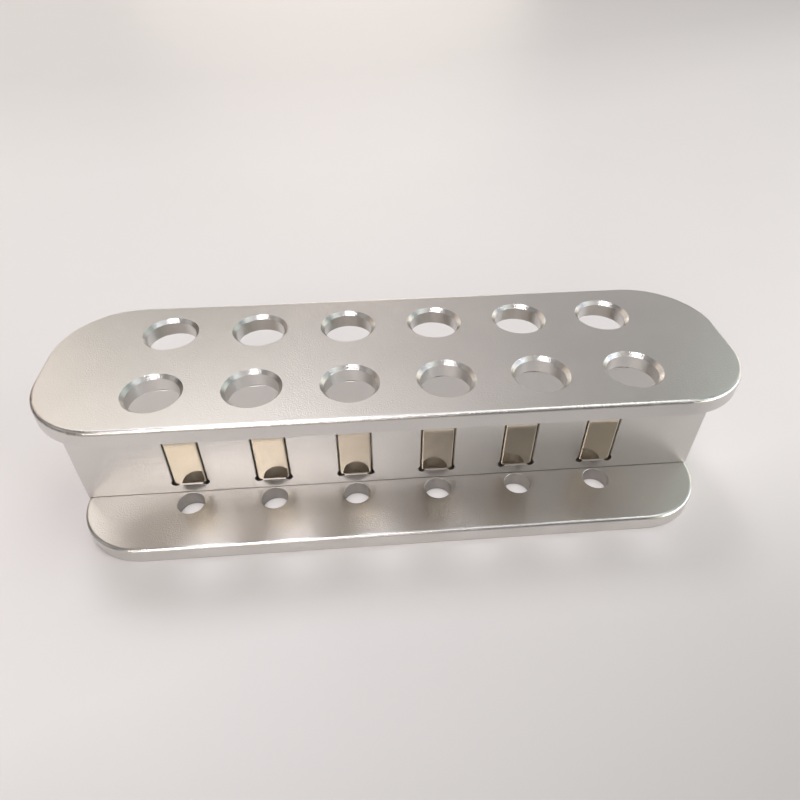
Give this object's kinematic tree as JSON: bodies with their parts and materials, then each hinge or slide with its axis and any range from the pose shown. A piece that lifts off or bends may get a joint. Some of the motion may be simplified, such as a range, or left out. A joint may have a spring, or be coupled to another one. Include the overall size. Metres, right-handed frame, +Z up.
{
  "type": "magnetic separation rack",
  "caption": "Aluminium tube rack: drilled top and base plates on an upright bar that carries a flush bar magnet beside each tube.",
  "frame": {"origin": "centre of the rack's footprint, on the surface it stands on", "axes": "+X along the rows of tubes, -Y the front, +Z up"},
  "size_m": [0.15, 0.044, 0.0403],
  "materials": {
    "plates": "bead blasted and clear anodised",
    "bar": "fine satin, clear anodised",
    "magnets": "bright nickel plate",
    "screws": "plain stainless steel"
  },
  "bodies": {
    "root": {"top_plate": "plates", "magnet_bar": "bar", "base_plate": "plates", "magnet_front_1": "magnets", "magnet_front_2": "magnets", "magnet_front_3": "magnets", "magnet_front_4": "magnets", "magnet_front_5": "magnets", "magnet_front_6": "magnets", "magnet_rear_1": "magnets", "magnet_rear_2": "magnets", "magnet_rear_3": "magnets", "magnet_rear_4": "magnets", "magnet_rear_5": "magnets", "magnet_rear_6": "magnets", "screw_1": "screws", "screw_2": "screws", "screw_3": "screws", "screw_4": "screws"}
  },
  "joints": []
}
